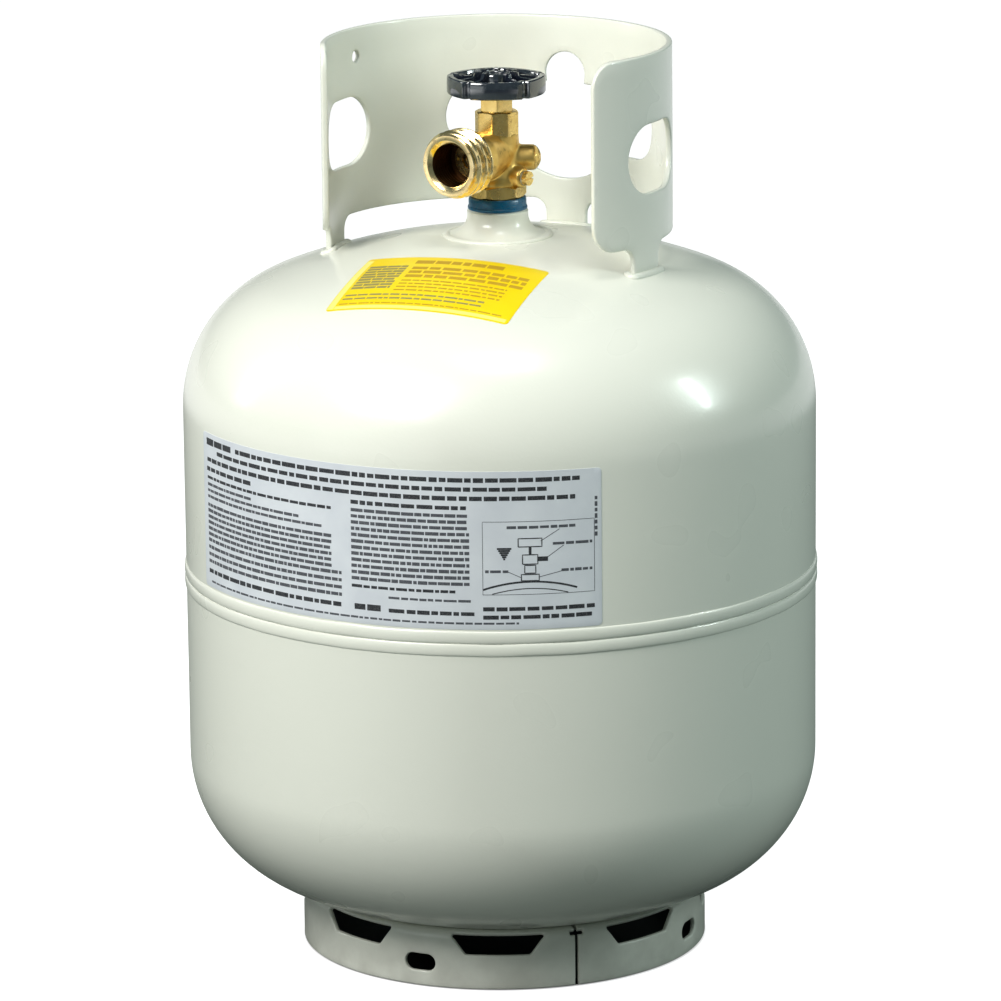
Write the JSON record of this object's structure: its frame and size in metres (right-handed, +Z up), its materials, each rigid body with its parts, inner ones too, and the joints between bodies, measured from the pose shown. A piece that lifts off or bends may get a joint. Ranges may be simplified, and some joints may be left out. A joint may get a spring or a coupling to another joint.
{
  "type": "propane tank",
  "caption": "Refillable steel gas cylinder with domed ends, a wrap-around guard collar with hand holes, a windowed foot ring and a brass handwheel valve.",
  "frame": {"origin": "centre of the foot ring's bottom rim, on the floor", "axes": "+Z up along the cylinder's axis, -Y towards the collar's open front and the printed label"},
  "size_m": [0.3126, 0.3126, 0.45],
  "materials": {
    "paint": "semi-gloss off-white enamel over steel",
    "label_paper": "printed paper label, satin varnish",
    "sticker_film": "yellow printed sticker, satin",
    "brass_forging": "forged and machined brass, slightly tarnished",
    "brass_turned": "turned brass",
    "steel": "zinc plated steel",
    "handwheel_plastic": "glossy blue-black plastic",
    "float_plastic": "matt nitrophyl-like foam plastic",
    "rubber": "matt nitrile rubber",
    "thread_sealant": "blue thread seal",
    "acetal": "natural acetal"
  },
  "bodies": {
    "root": {"upper_shell": "paint", "lower_shell": "paint", "girth_weld": "paint", "valve_boss": "paint", "boss_weld": "paint", "collar": "paint", "collar_welds": "paint", "foot_ring": "paint", "foot_ring_welds": "paint", "info_label": "label_paper", "dome_sticker": "sticker_film", "valve_body": "brass_forging", "thread_seal": "thread_sealant", "bonnet_nut": "brass_turned", "bonnet_lock_pin": "steel", "check_retainer": "brass_turned", "check_spring": "steel", "relief_retainer": "brass_turned", "relief_spring": "steel", "dip_tube": "steel", "opd_housing": "brass_turned", "float_pin": "steel"},
    "stem": {"stem": "brass_turned", "stem_o_rings": "rubber", "handwheel": "handwheel_plastic", "handwheel_screw": "steel"},
    "spindle": {"lower_spindle": "brass_turned", "seat_disc": "rubber"},
    "check": {"check_plunger": "brass_turned", "check_seal": "rubber"},
    "relief": {"relief_poppet": "brass_turned", "relief_seal": "rubber"},
    "bleed_washer": {"bleed_washer": "steel"},
    "bleed_screw": {"bleed_screw": "brass_turned"},
    "piston": {"opd_piston": "brass_turned", "opd_seal": "rubber"},
    "float": {"float_arm": "acetal", "float": "float_plastic"}
  },
  "joints": [
    {"name": "handwheel_turn", "type": "hinge", "parent": "root", "child": "stem", "pos_m": [0, 0, 0.43], "axis": [0, 0, 1], "range_deg": [0, 720]},
    {"name": "seat_travel", "type": "slide", "parent": "stem", "child": "spindle", "axis": [0, 0, 1], "range_m": [0, 0.003]},
    {"name": "check_press", "type": "slide", "parent": "root", "child": "check", "axis": [0.165, 0.9863, 0], "range_m": [0, 0.0035], "stiffness_N_per_m": 300, "springref_m": -0.003, "deforming": ["check_spring"]},
    {"name": "relief_lift", "type": "slide", "parent": "root", "child": "relief", "axis": [0.91, 0.4147, 0], "range_m": [0, 0.0015], "stiffness_N_per_m": 600, "springref_m": -0.0075, "deforming": ["relief_spring"]},
    {"name": "bleed_lift", "type": "slide", "parent": "root", "child": "bleed_washer", "axis": [0.9863, -0.165, 0], "range_m": [0, 0.0014]},
    {"name": "bleed_turn", "type": "hinge", "parent": "bleed_washer", "child": "bleed_screw", "pos_m": [0.01479, -0.00248, 0.384], "axis": [0.9863, -0.165, 0], "range_deg": [0, 720]},
    {"name": "float_swing", "type": "hinge", "parent": "root", "child": "float", "pos_m": [0, 0, 0.309], "axis": [0.9863, -0.165, 0], "range_deg": [0, 65]},
    {"name": "piston_travel", "type": "slide", "parent": "root", "child": "piston", "axis": [0, 0, 1], "range_m": [0, 0.003]}
  ],
  "couplings": [
    {"joint": "seat_travel", "follows": "handwheel_turn", "m_per_rad": 0.00023873},
    {"joint": "bleed_turn", "follows": "bleed_lift", "rad_per_m": 8976},
    {"joint": "piston_travel", "follows": "float_swing", "m_per_rad": 0.0026444}
  ]
}
